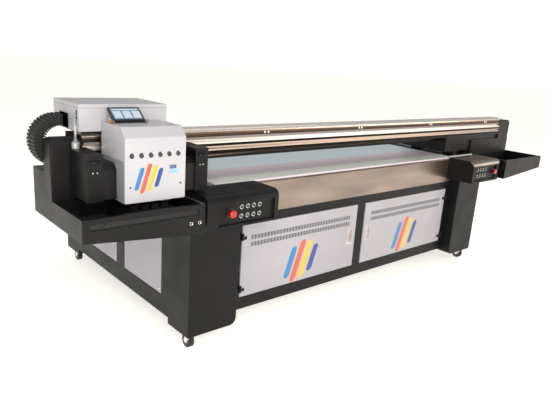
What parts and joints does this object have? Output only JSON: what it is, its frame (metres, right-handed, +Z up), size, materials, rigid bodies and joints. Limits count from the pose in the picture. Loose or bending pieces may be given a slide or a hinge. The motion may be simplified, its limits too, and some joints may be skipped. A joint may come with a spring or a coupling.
{
  "type": "flatbed uv printer",
  "caption": "Flatbed UV printer: cabinet on casters with a vacuum table, hinged doors and consoles, and a travelling gantry that carries the print carriage across it.",
  "frame": {"origin": "middle of the footprint at floor level", "axes": "+X along the gantry towards the right end, +Y from the front with the doors to the back, +Z up"},
  "size_m": [4.05, 1.825, 1.285],
  "materials": {
    "black_coat": "satin black powder coat",
    "door_grey_coat": "light grey satin powder coat",
    "grey_coat": "dark grey satin paint",
    "stainless": "brushed stainless sheet",
    "anodised_table": "matt anodised",
    "guide_steel": "ground steel",
    "light_grey_coat": "light grey satin powder coat",
    "chain_plastic": "black moulded nylon",
    "lamp_coat": "black powder coat",
    "head_metal": "machined",
    "button_plastic": "dark translucent caps",
    "stop_red": "red moulded plastic",
    "screen_black": "black bezel round a dark screen",
    "caster_zinc": "zinc plated",
    "caster_rubber": "dark rubber tread",
    "blower_grey": "grey cast housings"
  },
  "bodies": {
    "base": {"base_frame": "black_coat", "cabinet_panels": "door_grey_coat", "front_apron": "stainless", "left_console": "black_coat", "right_console": "black_coat", "vacuum_table": "anodised_table", "y_rails": "guide_steel", "cabinet_equipment": "blower_grey"},
    "gantry": {"left_gantry_end": "grey_coat", "right_gantry_end": "grey_coat", "left_tray": "black_coat", "right_tray": "black_coat", "maintenance_station": "head_metal", "gantry_beam": "stainless", "beam_cover": "light_grey_coat", "x_rails": "guide_steel", "chain_lower_run": "chain_plastic"},
    "chain_bend": {"chain_bend": "chain_plastic"},
    "carriage": {"carriage_plate": "head_metal", "print_heads": "head_metal", "front_cover": "light_grey_coat", "rear_cover": "light_grey_coat", "left_uv_lamp": "lamp_coat", "right_uv_lamp": "lamp_coat", "chain_upper_run": "chain_plastic"},
    "display": {"display": "screen_black"},
    "left_door": {"left_door": "door_grey_coat"},
    "right_door": {"right_door": "door_grey_coat"},
    "left_emergency_stop": {"left_emergency_stop": "stop_red"},
    "left_lower_button_1": {"left_lower_button_1": "button_plastic"},
    "left_lower_button_2": {"left_lower_button_2": "button_plastic"},
    "left_lower_button_3": {"left_lower_button_3": "button_plastic"},
    "left_lower_button_4": {"left_lower_button_4": "button_plastic"},
    "left_upper_button_1": {"left_upper_button_1": "button_plastic"},
    "left_upper_button_2": {"left_upper_button_2": "button_plastic"},
    "left_upper_button_3": {"left_upper_button_3": "button_plastic"},
    "left_upper_button_4": {"left_upper_button_4": "button_plastic"},
    "right_emergency_stop": {"right_emergency_stop": "stop_red"},
    "right_lower_button_1": {"right_lower_button_1": "button_plastic"},
    "right_lower_button_2": {"right_lower_button_2": "button_plastic"},
    "right_lower_button_3": {"right_lower_button_3": "button_plastic"},
    "right_lower_button_4": {"right_lower_button_4": "button_plastic"},
    "right_upper_button_1": {"right_upper_button_1": "button_plastic"},
    "right_upper_button_2": {"right_upper_button_2": "button_plastic"},
    "right_upper_button_3": {"right_upper_button_3": "button_plastic"},
    "right_upper_button_4": {"right_upper_button_4": "button_plastic"},
    "cover_button_1": {"cover_button_1": "button_plastic"},
    "cover_button_2": {"cover_button_2": "button_plastic"},
    "cover_button_3": {"cover_button_3": "button_plastic"},
    "cover_button_4": {"cover_button_4": "button_plastic"},
    "cover_button_5": {"cover_button_5": "button_plastic"},
    "cover_button_6": {"cover_button_6": "button_plastic"},
    "front_left_caster_fork": {"front_left_caster_fork": "caster_zinc"},
    "front_left_caster_wheel": {"front_left_caster_wheel": "caster_rubber"},
    "front_right_caster_fork": {"front_right_caster_fork": "caster_zinc"},
    "front_right_caster_wheel": {"front_right_caster_wheel": "caster_rubber"},
    "rear_left_caster_fork": {"rear_left_caster_fork": "caster_zinc"},
    "rear_left_caster_wheel": {"rear_left_caster_wheel": "caster_rubber"},
    "rear_right_caster_fork": {"rear_right_caster_fork": "caster_zinc"},
    "rear_right_caster_wheel": {"rear_right_caster_wheel": "caster_rubber"}
  },
  "joints": [
    {"name": "gantry_travel", "type": "slide", "parent": "base", "child": "gantry", "axis": [0, 1, 0], "range_m": [0, 1.05]},
    {"name": "carriage_travel", "type": "slide", "parent": "gantry", "child": "carriage", "axis": [1, 0, 0], "range_m": [0, 3.1], "deforming": ["chain_upper_run", "chain_lower_run"]},
    {"name": "chain_bend_travel", "type": "slide", "parent": "gantry", "child": "chain_bend", "axis": [1, 0, 0], "range_m": [0, 1.55]},
    {"name": "left_door_hinge", "type": "hinge", "parent": "base", "child": "left_door", "pos_m": [-1.002, -0.6755, 0.41], "axis": [0, 0, -1], "range_deg": [0, 110]},
    {"name": "right_door_hinge", "type": "hinge", "parent": "base", "child": "right_door", "pos_m": [1.002, -0.6755, 0.41], "axis": [0, 0, 1], "range_deg": [0, 110]},
    {"name": "display_tilt", "type": "hinge", "parent": "carriage", "child": "display", "pos_m": [-1.684, -0.6975, 1.218], "axis": [1, 0, 0], "range_deg": [-20, 30]},
    {"name": "left_emergency_stop_press", "type": "slide", "parent": "base", "child": "left_emergency_stop", "axis": [0, 1, 0], "range_m": [0, 0.005], "stiffness_N_per_m": 2500},
    {"name": "left_lower_button_1_press", "type": "slide", "parent": "base", "child": "left_lower_button_1", "axis": [0, 1, 0], "range_m": [0, 0.003], "stiffness_N_per_m": 800},
    {"name": "left_lower_button_2_press", "type": "slide", "parent": "base", "child": "left_lower_button_2", "axis": [0, 1, 0], "range_m": [0, 0.003], "stiffness_N_per_m": 800},
    {"name": "left_lower_button_3_press", "type": "slide", "parent": "base", "child": "left_lower_button_3", "axis": [0, 1, 0], "range_m": [0, 0.003], "stiffness_N_per_m": 800},
    {"name": "left_lower_button_4_press", "type": "slide", "parent": "base", "child": "left_lower_button_4", "axis": [0, 1, 0], "range_m": [0, 0.003], "stiffness_N_per_m": 800},
    {"name": "left_upper_button_1_press", "type": "slide", "parent": "base", "child": "left_upper_button_1", "axis": [0, 1, 0], "range_m": [0, 0.003], "stiffness_N_per_m": 800},
    {"name": "left_upper_button_2_press", "type": "slide", "parent": "base", "child": "left_upper_button_2", "axis": [0, 1, 0], "range_m": [0, 0.003], "stiffness_N_per_m": 800},
    {"name": "left_upper_button_3_press", "type": "slide", "parent": "base", "child": "left_upper_button_3", "axis": [0, 1, 0], "range_m": [0, 0.003], "stiffness_N_per_m": 800},
    {"name": "left_upper_button_4_press", "type": "slide", "parent": "base", "child": "left_upper_button_4", "axis": [0, 1, 0], "range_m": [0, 0.003], "stiffness_N_per_m": 800},
    {"name": "right_emergency_stop_press", "type": "slide", "parent": "base", "child": "right_emergency_stop", "axis": [0, 1, 0], "range_m": [0, 0.005], "stiffness_N_per_m": 2500},
    {"name": "right_lower_button_1_press", "type": "slide", "parent": "base", "child": "right_lower_button_1", "axis": [0, 1, 0], "range_m": [0, 0.003], "stiffness_N_per_m": 800},
    {"name": "right_lower_button_2_press", "type": "slide", "parent": "base", "child": "right_lower_button_2", "axis": [0, 1, 0], "range_m": [0, 0.003], "stiffness_N_per_m": 800},
    {"name": "right_lower_button_3_press", "type": "slide", "parent": "base", "child": "right_lower_button_3", "axis": [0, 1, 0], "range_m": [0, 0.003], "stiffness_N_per_m": 800},
    {"name": "right_lower_button_4_press", "type": "slide", "parent": "base", "child": "right_lower_button_4", "axis": [0, 1, 0], "range_m": [0, 0.003], "stiffness_N_per_m": 800},
    {"name": "right_upper_button_1_press", "type": "slide", "parent": "base", "child": "right_upper_button_1", "axis": [0, 1, 0], "range_m": [0, 0.003], "stiffness_N_per_m": 800},
    {"name": "right_upper_button_2_press", "type": "slide", "parent": "base", "child": "right_upper_button_2", "axis": [0, 1, 0], "range_m": [0, 0.003], "stiffness_N_per_m": 800},
    {"name": "right_upper_button_3_press", "type": "slide", "parent": "base", "child": "right_upper_button_3", "axis": [0, 1, 0], "range_m": [0, 0.003], "stiffness_N_per_m": 800},
    {"name": "right_upper_button_4_press", "type": "slide", "parent": "base", "child": "right_upper_button_4", "axis": [0, 1, 0], "range_m": [0, 0.003], "stiffness_N_per_m": 800},
    {"name": "cover_button_1_press", "type": "slide", "parent": "carriage", "child": "cover_button_1", "axis": [0, 1, 0], "range_m": [0, 0.003], "stiffness_N_per_m": 800},
    {"name": "cover_button_2_press", "type": "slide", "parent": "carriage", "child": "cover_button_2", "axis": [0, 1, 0], "range_m": [0, 0.003], "stiffness_N_per_m": 800},
    {"name": "cover_button_3_press", "type": "slide", "parent": "carriage", "child": "cover_button_3", "axis": [0, 1, 0], "range_m": [0, 0.003], "stiffness_N_per_m": 800},
    {"name": "cover_button_4_press", "type": "slide", "parent": "carriage", "child": "cover_button_4", "axis": [0, 1, 0], "range_m": [0, 0.003], "stiffness_N_per_m": 800},
    {"name": "cover_button_5_press", "type": "slide", "parent": "carriage", "child": "cover_button_5", "axis": [0, 1, 0], "range_m": [0, 0.003], "stiffness_N_per_m": 800},
    {"name": "cover_button_6_press", "type": "slide", "parent": "carriage", "child": "cover_button_6", "axis": [0, 1, 0], "range_m": [0, 0.003], "stiffness_N_per_m": 800},
    {"name": "front_left_caster_swivel", "type": "hinge", "parent": "base", "child": "front_left_caster_fork", "pos_m": [-1.332, -0.6895, 0.08], "axis": [0, 0, 1], "continuous": true},
    {"name": "front_left_caster_spin", "type": "hinge", "parent": "front_left_caster_fork", "child": "front_left_caster_wheel", "pos_m": [-1.332, -0.6675, 0.038], "axis": [1, 0, 0], "continuous": true},
    {"name": "front_right_caster_swivel", "type": "hinge", "parent": "base", "child": "front_right_caster_fork", "pos_m": [1.332, -0.6895, 0.08], "axis": [0, 0, 1], "continuous": true},
    {"name": "front_right_caster_spin", "type": "hinge", "parent": "front_right_caster_fork", "child": "front_right_caster_wheel", "pos_m": [1.332, -0.6675, 0.038], "axis": [1, 0, 0], "continuous": true},
    {"name": "rear_left_caster_swivel", "type": "hinge", "parent": "base", "child": "rear_left_caster_fork", "pos_m": [-1.332, 0.8145, 0.08], "axis": [0, 0, 1], "continuous": true},
    {"name": "rear_left_caster_spin", "type": "hinge", "parent": "rear_left_caster_fork", "child": "rear_left_caster_wheel", "pos_m": [-1.332, 0.8365, 0.038], "axis": [1, 0, 0], "continuous": true},
    {"name": "rear_right_caster_swivel", "type": "hinge", "parent": "base", "child": "rear_right_caster_fork", "pos_m": [1.332, 0.8145, 0.08], "axis": [0, 0, 1], "continuous": true},
    {"name": "rear_right_caster_spin", "type": "hinge", "parent": "rear_right_caster_fork", "child": "rear_right_caster_wheel", "pos_m": [1.332, 0.8365, 0.038], "axis": [1, 0, 0], "continuous": true}
  ],
  "couplings": [
    {"joint": "chain_bend_travel", "follows": "carriage_travel", "ratio": 0.5}
  ]
}
